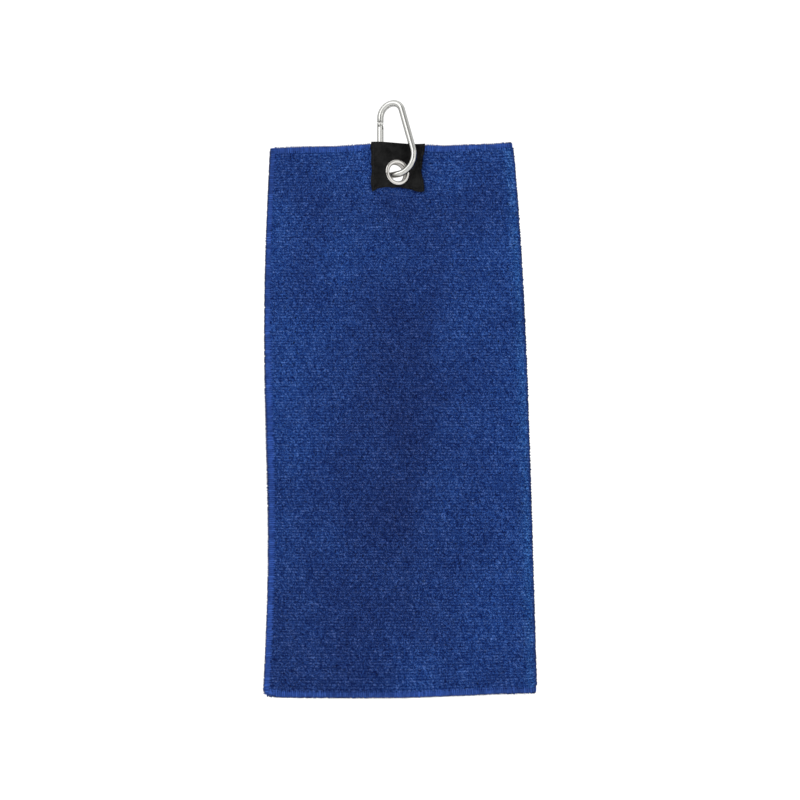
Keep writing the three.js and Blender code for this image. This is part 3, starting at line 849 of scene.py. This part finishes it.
def bent_wire(corners, radii, spacing=0.7):
    """Points of straight runs joined by circular bends, in the plane."""
    corners = [np.array(c, float) for c in corners]
    line = [corners[0]]
    for i, radius in enumerate(radii, start=1):
        into = corners[i] - corners[i - 1]
        into /= np.linalg.norm(into)
        out = corners[i + 1] - corners[i]
        out /= np.linalg.norm(out)
        turn = math.acos(np.clip(into @ out, -1, 1))
        reach = radius * math.tan(turn / 2)
        start = corners[i] - reach * into
        side = out - (out @ into) * into
        side /= np.linalg.norm(side)
        steps = max(6, int(radius * turn / spacing))
        for k in range(steps + 1):
            angle = turn * k / steps
            line.append(start + radius * (math.sin(angle) * into + (1 - math.cos(angle)) * side))
    line.append(corners[-1])
    dense = [line[0]]
    for a, b in zip(line, line[1:]):
        pieces = max(1, int(np.linalg.norm(b - a) / spacing))
        dense += [a + (b - a) * k / pieces for k in range(1, pieces + 1)]
    return np.array(dense)


def clip_solid(name, outline, half):
    """Plate in the carabiner's plane from an outline of (u, v)."""
    count = len(outline)
    verts = [(u, -half, v) for u, v in outline] + [(u, half, v) for u, v in outline]
    faces = [list(range(count)), [count + k for k in range(count)][::-1]]
    faces += [[k, (k + 1) % count, count + (k + 1) % count, count + k] for k in range(count)]
    obj = new_object(name, clip_points(verts), faces, smooth=False)
    face_outwards(obj)
    return obj


def clip_bar(name, radius, half, v, sides=40):
    """Round bar across the carabiner's plane on the gate's axis line."""
    verts, faces = tube([(GATE_U, -half, v), (GATE_U, half, v)], radius, sides)
    obj = new_object(name, clip_points(verts), faces, smooth=False)
    face_outwards(obj)
    return obj


def arc(centre, radius, start, end, count):
    """Points of an arc in (u, v), angles in degrees."""
    angles = np.radians(np.linspace(start, end, count))
    return [(centre[0] + radius * math.cos(a), centre[1] + radius * math.sin(a)) for a in angles]


LATCH_V = -14.2
PIN_CLEAR = 0.9
TONGUE_HALF = 0.75
TANG_HALF = 0.8


def round_edges(obj, width, angle=35):
    """Softens the sharp edges left by the cuts."""
    clean(obj, 0.01, flat=0.5)
    bevel = obj.modifiers.new("edge", "BEVEL")
    bevel.width = width * MM
    bevel.segments = 3
    bevel.limit_method = "ANGLE"
    bevel.angle_limit = math.radians(angle)
    apply_modifiers(obj)
    obj.data.shade_smooth()
    obj.data.set_sharp_from_angle(angle=math.radians(angle))


def make_clip_frame():
    path = bent_wire(CORNERS, BENDS)
    line = np.stack([path[:, 0], np.zeros(len(path)), path[:, 1]], axis=-1)
    verts, faces = tube(line, WIRE_RADIUS, 48, up=(0, 1, 0))
    obj = new_object("clip_wire", clip_points(verts), faces)
    face_outwards(obj)
    outer = GATE_U - WIRE_RADIUS + 0.25
    inner = GATE_U + WIRE_RADIUS - 0.25
    stem = GATE_U - PIN_CLEAR
    tongue = [
        (outer, NOSE_V + 0.6), (inner, NOSE_V + 0.6), (inner, LATCH_V + PIN_CLEAR + 0.5),
        (inner - 0.5, LATCH_V + PIN_CLEAR), (stem, LATCH_V + PIN_CLEAR), (stem, LATCH_V - PIN_CLEAR),
        (GATE_U + 0.8, LATCH_V - PIN_CLEAR), (GATE_U + 0.4, LATCH_V - PIN_CLEAR - 1.2),
        (outer + 0.3, LATCH_V - PIN_CLEAR - 1.3),
        (outer, LATCH_V - PIN_CLEAR - 1.0),
    ]
    boolean(obj, clip_solid("tongue", tongue, TONGUE_HALF), "UNION")
    tang = [(GATE_U - 2, WIRE_END_V - 0.5), (GATE_U + 2, WIRE_END_V - 0.5), (GATE_U + 2, HINGE_V)]
    tang += arc((GATE_U, HINGE_V), 2.0, 10, 57, 8) + arc((GATE_U, HINGE_V), 2.0, 123, 180, 8)
    boolean(obj, clip_solid("tang", tang, TANG_HALF), "UNION")
    boolean(obj, clip_bar("hole", 1.05, 6, HINGE_V), "DIFFERENCE")
    round_edges(obj, 0.22)
    return obj


def make_clip_gate():
    low = HINGE_V - WIRE_RADIUS + 0.05
    heights = np.concatenate([np.linspace(low, GATE_TIP_V - 0.3, 40), [GATE_TIP_V - 0.08, GATE_TIP_V]])
    radius = np.full(len(heights), WIRE_RADIUS)
    radius[-2:] = (WIRE_RADIUS - 0.1, WIRE_RADIUS - 0.35)
    line = np.stack([np.full(len(heights), GATE_U), np.zeros(len(heights)), heights], axis=-1)
    verts, faces = tube(line, radius, 48, up=(0, 1, 0))
    obj = new_object("clip_gate_rod", clip_points(verts), faces)
    face_outwards(obj)
    heel = [(GATE_U + 4, HINGE_V), (GATE_U + 4, 0), (GATE_U - 4, 0), (GATE_U - 4, HINGE_V)]
    heel += arc((GATE_U, HINGE_V), WIRE_RADIUS - 0.05, 180, 360, 24)
    boolean(obj, clip_solid("heel", heel, 5), "INTERSECT")
    inner = GATE_U + WIRE_RADIUS
    shoulder = [(inner + 2, GATE_TIP_V + 2), (inner - 3.1, GATE_TIP_V + 2), (inner - 3.1, GATE_TIP_V + 0.4)]
    shoulder += [(inner - 1.6, GATE_TIP_V - 0.7), (inner - 0.6, GATE_TIP_V - 2.0)]
    shoulder += [(inner + 0.1, GATE_TIP_V - 3.8), (inner + 2, GATE_TIP_V - 3.8)]
    boolean(obj, clip_solid("shoulder", shoulder, 5), "DIFFERENCE")
    slot = [(GATE_U - 4, -17), (GATE_U + 4, -17), (GATE_U + 4, 0), (GATE_U - 4, 0)]
    boolean(obj, clip_solid("latch_slot", slot, 1.05), "DIFFERENCE")
    fork = [(GATE_U - 4, HINGE_V - 5), (GATE_U + 4, HINGE_V - 5)]
    fork += [(GATE_U + 4, GATE_FORK_TOP_V), (GATE_U - 4, GATE_FORK_TOP_V)]
    boolean(obj, clip_solid("hinge_slot", fork, TANG_HALF + GAP), "DIFFERENCE")
    bore_line = [(GATE_U, 0, GATE_FORK_TOP_V - 1), (GATE_U, 0, BORE_TOP_V)]
    bore, bore_faces = tube(bore_line, 1.4, 32, up=(0, 1, 0))
    bore_cutter = new_object("bore", clip_points(bore), bore_faces, smooth=False)
    face_outwards(bore_cutter)
    boolean(obj, bore_cutter, "DIFFERENCE")
    boolean(obj, clip_bar("latch_hole", PIN_CLEAR, 6, LATCH_V), "DIFFERENCE")
    boolean(obj, clip_bar("hinge_hole", 1.05, 6, HINGE_V), "DIFFERENCE")
    round_edges(obj, 0.16)
    return obj


def make_pin(name, radius, half, v):
    """Pin with slightly domed ends."""
    n = np.array([-half, -half + 0.12, -half + 0.3, half - 0.3, half - 0.12, half])
    reach = radius * np.array([0.55, 0.88, 1, 1, 0.88, 0.55])
    line = np.stack([np.full(6, GATE_U), n, np.full(6, v)], axis=-1)
    verts, faces = tube(line, reach, 32)
    obj = new_object(name, clip_points(verts), faces)
    face_outwards(obj)
    return obj


# ---------------------------------------------------------------- materials

class Nodes:
    """Small helper for building node materials."""

    def __init__(self, name):
        self.material = bpy.data.materials.new(name)
        self.material.use_nodes = True
        self.tree = self.material.node_tree
        self.shader = self.tree.nodes["Principled BSDF"]

    def add(self, kind, **values):
        node = self.tree.nodes.new(kind)
        for key, value in values.items():
            setattr(node, key, value)
        return node

    def link(self, source, target):
        self.tree.links.new(source, target)

    def set(self, **values):
        for key, value in values.items():
            self.shader.inputs[key.replace("_", " ")].default_value = value

    def coordinates(self, scale=(1, 1, 1)):
        where = self.add("ShaderNodeTexCoord")
        mapping = self.add("ShaderNodeMapping")
        mapping.inputs["Scale"].default_value = scale
        self.link(where.outputs["Object"], mapping.inputs["Vector"])
        return mapping.outputs["Vector"]

    def noise(self, scale, detail=2.0, rough=0.5, stretch=(1, 1, 1)):
        node = self.add("ShaderNodeTexNoise")
        node.inputs["Scale"].default_value = scale
        node.inputs["Detail"].default_value = detail
        node.inputs["Roughness"].default_value = rough
        self.link(self.coordinates(stretch), node.inputs["Vector"])
        return node.outputs["Fac"]

    def ramp(self, source, *stops):
        node = self.add("ShaderNodeValToRGB")
        elements = node.color_ramp.elements
        while len(elements) < len(stops):
            elements.new(0.5)
        for element, (position, colour) in zip(elements, stops):
            element.position = position
            element.color = (*colour, 1) if len(colour) == 3 else colour
        self.link(source, node.inputs["Fac"])
        return node.outputs["Color"]

    def math(self, operation, a, b=None):
        node = self.add("ShaderNodeMath", operation=operation)
        for k, value in enumerate((a, b)):
            if value is None:
                continue
            if isinstance(value, (int, float)):
                node.inputs[k].default_value = value
            else:
                self.link(value, node.inputs[k])
        return node.outputs[0]

    def mix(self, blend, factor, a, b):
        node = self.add("ShaderNodeMix", data_type="RGBA", blend_type=blend)
        if isinstance(factor, (int, float)):
            node.inputs[0].default_value = factor
        else:
            self.link(factor, node.inputs[0])
        for k, value in ((6, a), (7, b)):
            if isinstance(value, tuple):
                node.inputs[k].default_value = (*value, 1)
            else:
                self.link(value, node.inputs[k])
        return node.outputs[2]

    def bump(self, height, strength, distance):
        node = self.add("ShaderNodeBump")
        node.inputs["Strength"].default_value = strength
        node.inputs["Distance"].default_value = distance * MM
        self.link(height, node.inputs["Height"])
        self.link(node.outputs["Normal"], self.shader.inputs["Normal"])
        return node

    def attribute(self, name):
        return self.add("ShaderNodeAttribute", attribute_name=name).outputs["Fac"]


def grey(value):
    return (value, value, value)


def terry_material():
    """Blue microfibre loops with random flecks and clouds: painted shade between the rows, painted light at
    the tips, painted shade down the middle, under the patch and low by the free edge, and painted shade where
    the fold turns away.
    """
    n = Nodes("terry_blue")
    # Blue by loop height: painted shade in the valleys between the rows and painted light on the loop tips.
    blue_with_row_shade = n.ramp(
        n.attribute("pile"),
        (0.05, (0.0015, 0.0112, 0.088)),
        (0.45, (0.0082, 0.0316, 0.155)),
        (1.00, (0.0275, 0.0640, 0.228)),
    )
    dark_fleck, bright_fleck = (0.30, 0.46, 0.62), (1.85, 1.58, 1.34)
    fleck = n.ramp(n.attribute("fleck"), (0.0, dark_fleck), (0.5, grey(0.90)), (1.0, bright_fleck))
    colour = n.mix("MULTIPLY", 1.0, blue_with_row_shade, fleck)
    # Painted shade down the middle where the drape falls back, under the patch and low by the free edge.
    nap = n.ramp(n.attribute("nap"), (0.0, (0.84, 0.72, 0.73)), (1.0, (1.06, 1.10, 1.08)))
    colour = n.mix("MULTIPLY", 1.0, colour, nap)
    cloud = n.ramp(n.noise(20, 2.5, 0.5, (1, 1, 0.8)), (0.36, (0.84, 0.82, 0.85)), (0.62, (1.04, 1.08, 1.06)))
    colour = n.mix("MULTIPLY", 1.0, colour, cloud)
    fibre = n.ramp(n.noise(1700, 0, 0.5), (0.34, (0.02, 0.18, 0.38)), (0.66, (2.90, 2.25, 1.75)))
    colour = n.mix("MULTIPLY", 1.0, colour, fibre)
    # Attribute 'edge': painted shade in the fold where it turns away, and a lighter, greener strip just
    # before the fold.
    edge = n.ramp(n.attribute("edge"), (0.0, (0.25, 0.28, 0.32)), (0.5, grey(1.0)), (1.0, (1.30, 1.50, 1.28)))
    colour = n.mix("MULTIPLY", 1.0, colour, edge)
    n.link(colour, n.shader.inputs["Base Color"])
    n.set(Roughness=0.95, Specular_IOR_Level=0.08, Sheen_Weight=0.03, Sheen_Roughness=0.45)
    n.shader.inputs["Sheen Tint"].default_value = (0.45, 0.60, 1.0, 1)
    n.bump(n.noise(1100, 4, 0.75), 0.7, 0.5)
    return n.material


def thread_material():
    """Brighter blue textured yarn of the overlocked edges."""
    n = Nodes("overlock_blue")
    base = n.ramp(n.noise(420, 3, 0.6), (0.30, (0.0120, 0.0400, 0.190)), (0.70, (0.0330, 0.0900, 0.360)))
    cloud = n.ramp(n.noise(16, 2, 0.5), (0.35, grey(0.82)), (0.65, grey(1.10)))
    colour = n.mix("MULTIPLY", 1.0, base, cloud)
    strand = n.ramp(n.attribute("tone"), (0.0, (0.60, 0.66, 0.74)), (1.0, (1.35, 1.32, 1.26)))
    colour = n.mix("MULTIPLY", 1.0, colour, strand)
    # Painted shade where the loops turn round the outer edge.
    wrap_shade = n.ramp(n.attribute("rim"), (0.15, grey(1.0)), (0.75, (0.16, 0.20, 0.24)))
    colour = n.mix("MULTIPLY", 1.0, colour, wrap_shade)
    n.link(colour, n.shader.inputs["Base Color"])
    n.set(Roughness=0.85, Specular_IOR_Level=0.15, Sheen_Weight=0.03, Sheen_Roughness=0.4)
    n.shader.inputs["Sheen Tint"].default_value = (0.5, 0.65, 1.0, 1)
    n.bump(n.noise(2200, 2, 0.6), 0.5, 0.2)
    return n.material


def patch_material():
    """Black close-woven fabric with a fine twill and random lighter and darker mottling."""
    n = Nodes("patch_black")
    where = n.coordinates((1, 1, 1))
    weave = []
    for tilt in (0.7, -0.7):
        wave = n.add("ShaderNodeTexWave", wave_type="BANDS", bands_direction="X")
        wave.inputs["Scale"].default_value = 520
        wave.inputs["Distortion"].default_value = 0.4
        mapping = n.add("ShaderNodeMapping")
        mapping.inputs["Rotation"].default_value = (0, tilt, 0)
        n.link(where, mapping.inputs["Vector"])
        n.link(mapping.outputs["Vector"], wave.inputs["Vector"])
        weave.append(wave.outputs["Fac"])
    cross = n.math("MULTIPLY", weave[0], weave[1])
    # Random lighter and darker mottling of the black.
    mottle = n.ramp(n.noise(130, 5, 0.7), (0.36, (0.0005, 0.0005, 0.0006)), (0.66, (0.0115, 0.0115, 0.0115)))
    colour = n.mix("MULTIPLY", 0.5, mottle, n.ramp(cross, (0.0, grey(0.35)), (0.8, grey(2.0))))
    n.link(colour, n.shader.inputs["Base Color"])
    n.set(Roughness=0.9, Specular_IOR_Level=0.12, Sheen_Weight=0.02, Sheen_Roughness=0.5)
    height = n.math("ADD", cross, n.math("MULTIPLY", n.noise(900, 3, 0.6), 0.7))
    n.bump(height, 0.5, 0.15)
    return n.material


def black_thread_material():
    n = Nodes("patch_thread_black")
    shade = n.ramp(n.noise(900, 2, 0.5), (0.3, grey(0.004)), (0.7, grey(0.012)))
    n.link(shade, n.shader.inputs["Base Color"])
    n.set(Roughness=0.75, Specular_IOR_Level=0.2)
    n.bump(n.noise(3000, 2, 0.5), 0.4, 0.1)
    return n.material


def metal_material(name, colour, rough, scratch=0.15):
    """Plated metal with faint handling marks."""
    n = Nodes(name)
    tone = n.ramp(n.noise(120, 4, 0.6), (0.3, tuple(0.93 * c for c in colour)), (0.7, colour))
    n.link(tone, n.shader.inputs["Base Color"])
    n.set(Metallic=1.0)
    n.shader.inputs["Specular Tint"].default_value = (0.25, 0.25, 0.25, 1)
    marks = n.noise(700, 5, 0.7, (1, 1, 0.12))
    rubbed = n.math("ADD", n.math("MULTIPLY", marks, 0.16), rough - 0.08)
    n.link(rubbed, n.shader.inputs["Roughness"])
    n.bump(marks, scratch, 0.02)
    return n.material


def dress(obj, material, slot, body, *nodes):
    """Material, body and the CAD nodes a piece stands for; the record slot is not used."""
    obj.data.materials.clear()
    obj.data.materials.append(material)
    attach(obj, body)
    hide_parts(*nodes)


# ---------------------------------------------------------------- the pieces

terry = terry_material()
yarn = thread_material()
steel = metal_material("wire_steel", (0.422, 0.422, 0.404), 0.20)
plate = metal_material("grommet_plate", (0.445, 0.432, 0.410), 0.12)
pin_steel = metal_material("pin_steel", (0.50, 0.50, 0.49), 0.3)

cloth = make_cloth()
dress(cloth, terry, "terry", "towel", "towel_cloth")

bands = [
    (make_end_band("overlock_top_edge", TOP_Z, 1), "overlock_top"),
    (make_end_band("overlock_bottom_edge", BOTTOM_Z, -1), "overlock_bottom"),
    (make_side_band("overlock_front_side", 0.0), "overlock_front_edge"),
    (make_side_band("overlock_back_side", 3.0), "overlock_back_edge"),
]
for band, node in bands:
    dress(band, yarn, "edge_thread", "towel", node)

patch = make_patch()
dress(patch, patch_material(), "patch_fabric", "towel", "reinforcing_patch")
black_thread = black_thread_material()
stitches_front = make_stitches("stitches_front", -1)
dress(stitches_front, black_thread, "patch_thread", "towel", "patch_thread_front")
stitches_back = make_stitches("stitches_back", 1)
dress(stitches_back, black_thread, "patch_thread", "towel", "patch_thread_back")

eyelet, ring_back = make_grommet()
dress(eyelet, plate, "grommet_metal", "towel", "grommet_eyelet")
dress(ring_back, plate, "grommet_metal", "towel", "grommet_washer")

dress(make_clip_frame(), steel, "wire_metal", "clip_frame", "carabiner_frame")
dress(make_clip_gate(), steel, "wire_metal", "clip_gate", "carabiner_gate")
dress(make_pin("hinge_pin", 0.75, 2.15, HINGE_V), pin_steel, "pin_metal", "clip_frame", "gate_hinge_pin")
dress(make_pin("latch_pin", 0.6, 2.15, LATCH_V), pin_steel, "pin_metal", "clip_gate", "gate_latch_pin")
for node in ("gate_plunger", "gate_spring"):
    kept = bpy.data.objects[node]
    for slot in kept.material_slots:
        slot.material = pin_steel


# ---------------------------------------------------------------- floor and light

def make_stage():
    """Pale floor well below the hanging towel."""
    size, depth = 40.0, BOTTOM_Z * MM - 0.35
    corners = [(-size, -size), (size, -size), (size, size), (-size, size)]
    verts = np.array([(x, y, depth) for x, y in corners]) / MM
    floor = new_object("floor", verts, [[0, 1, 2, 3]], smooth=False)
    n = Nodes("floor_white")
    n.set(Roughness=0.9, Specular_IOR_Level=0.1)
    n.shader.inputs["Base Color"].default_value = (0.93, 0.93, 0.93, 1)
    floor.data.materials.append(n.material)


def make_light(name, place, target, size, power):
    data = bpy.data.lights.new(name, "AREA")
    data.shape = "RECTANGLE"
    data.size, data.size_y = size
    data.energy = power
    lamp = bpy.data.objects.new(name, data)
    bpy.context.scene.collection.objects.link(lamp)
    lamp.location = place
    lamp.rotation_mode = "QUATERNION"
    lamp.rotation_quaternion = (Vector(target) - Vector(place)).to_track_quat("-Z", "Y")


def make_world():
    """White behind the towel, falling to pale grey towards the darker half of the studio in front."""
    world = bpy.data.worlds.new("studio")
    world.use_nodes = True
    tree = world.node_tree
    where = tree.nodes.new("ShaderNodeTexCoord")
    split = tree.nodes.new("ShaderNodeSeparateXYZ")
    ramp = tree.nodes.new("ShaderNodeMapRange")
    ramp.interpolation_type = "SMOOTHSTEP"
    ramp.inputs["From Min"].default_value = -0.95
    ramp.inputs["From Max"].default_value = 0.1
    ramp.inputs["To Min"].default_value = 0.34
    ramp.inputs["To Max"].default_value = 1.1
    tree.links.new(where.outputs["Generated"], split.inputs[0])
    tree.links.new(split.outputs["Y"], ramp.inputs["Value"])
    square = tree.nodes.new("ShaderNodeMath")
    square.operation = "MULTIPLY"
    tree.links.new(split.outputs["Z"], square.inputs[0])
    tree.links.new(split.outputs["Z"], square.inputs[1])
    total = tree.nodes.new("ShaderNodeMath")
    total.operation = "MULTIPLY_ADD"
    total.inputs[1].default_value = 0.6
    tree.links.new(square.outputs[0], total.inputs[0])
    tree.links.new(ramp.outputs[0], total.inputs[2])
    background = tree.nodes["Background"]
    background.inputs["Color"].default_value = (1, 1, 1, 1)
    tree.links.new(total.outputs[0], background.inputs["Strength"])
    bpy.context.scene.world = world


make_stage()
make_world()
middle_of_towel = (0, 0, -0.22)
make_light("key", (-0.9, -1.3, 0.7), middle_of_towel, (1.4, 1.4), 16)
make_light("fill", (1.2, -1.2, 0.1), middle_of_towel, (1.4, 1.4), 8)
make_light("back", (0.4, 1.5, 0.9), middle_of_towel, (0.9, 0.9), 3)
bpy.context.scene.view_settings.view_transform = "Standard"
